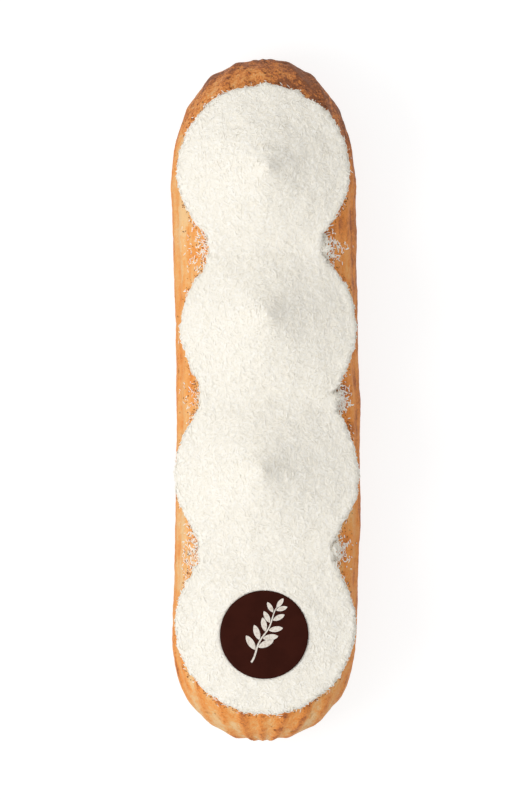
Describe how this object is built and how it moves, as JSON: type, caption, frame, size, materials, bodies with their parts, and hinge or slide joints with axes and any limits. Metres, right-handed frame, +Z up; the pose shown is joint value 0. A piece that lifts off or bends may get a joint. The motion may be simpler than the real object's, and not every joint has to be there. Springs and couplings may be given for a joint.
{
  "type": "eclair",
  "caption": "Finger of ridged choux pastry topped with a row of coconut-coated piped cream dollops and a thin round of dark chocolate at one end.",
  "frame": {"origin": "middle of the flat base, on the surface that the eclair lies on", "axes": "+Z up, Y along the length with the chocolate round towards -Y, X across"},
  "size_m": [0.0418, 0.15, 0.0395],
  "materials": {
    "choux": "baked choux crust, golden brown with darker ridges",
    "cream": "whipped cream coated in shredded coconut",
    "chocolate": "satin dark chocolate"
  },
  "bodies": {
    "root": {"choux_finger": "choux", "cream_dollop_1": "cream", "cream_dollop_2": "cream", "cream_dollop_3": "cream", "cream_dollop_4": "cream", "chocolate_round": "chocolate"}
  },
  "joints": []
}
